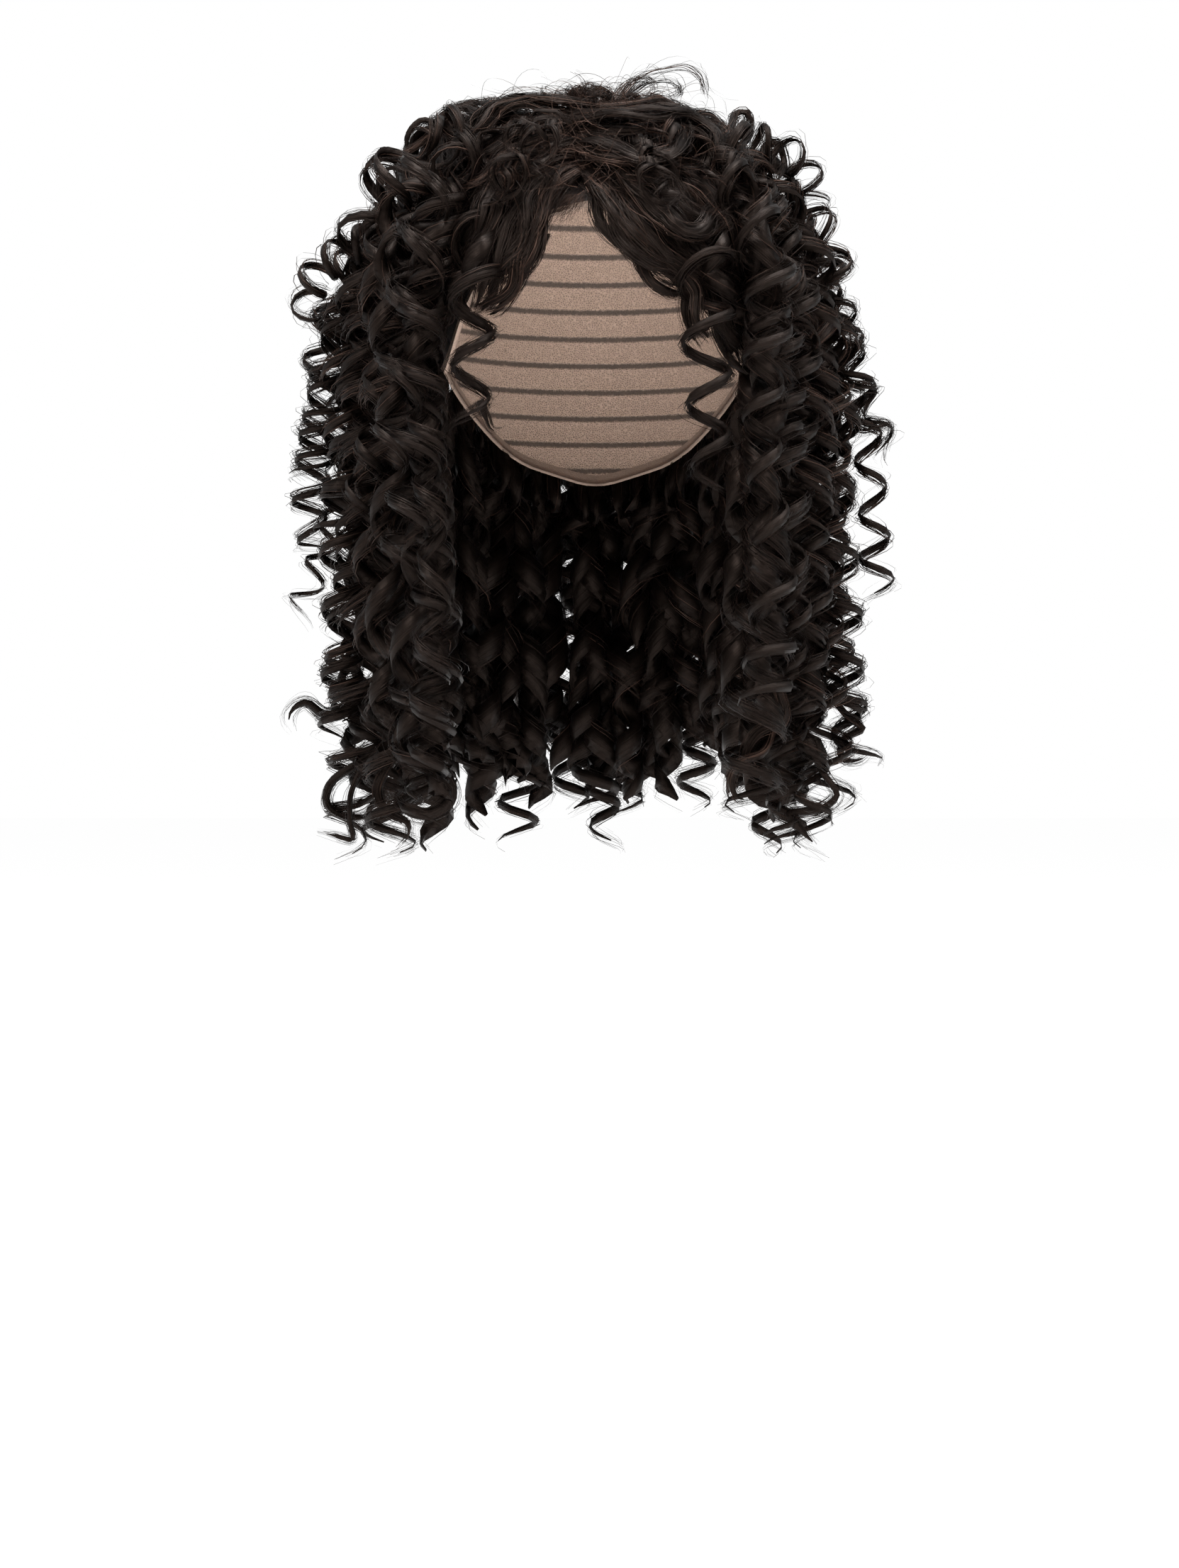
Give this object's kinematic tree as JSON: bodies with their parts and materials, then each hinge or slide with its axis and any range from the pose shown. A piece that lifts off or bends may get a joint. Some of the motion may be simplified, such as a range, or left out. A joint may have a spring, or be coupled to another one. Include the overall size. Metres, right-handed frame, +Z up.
{
  "type": "curly synthetic wig",
  "caption": "Shoulder-length wig of dark corkscrew ringlets with a parted curtain fringe and face-framing curls, on a hollow cap that fits over the head.",
  "frame": {"origin": "top of the inside of the cap, where the wig sits on the crown of the head", "axes": "+Z up, -Y the way the face looks, +X the wearer's left"},
  "size_m": [0.262, 0.2622, 0.3519],
  "materials": {
    "cap_net": "matte open net",
    "hair": "satin synthetic fibre"
  },
  "bodies": {
    "root": {"wig_cap": "cap_net", "crown_curls": "hair", "back_curls": "hair", "nape_curls": "hair", "fringe_left": "hair", "fringe_right": "hair", "face_curl_left": "hair", "face_curl_right": "hair", "side_curls_left": "hair", "side_curls_right": "hair"}
  },
  "joints": []
}
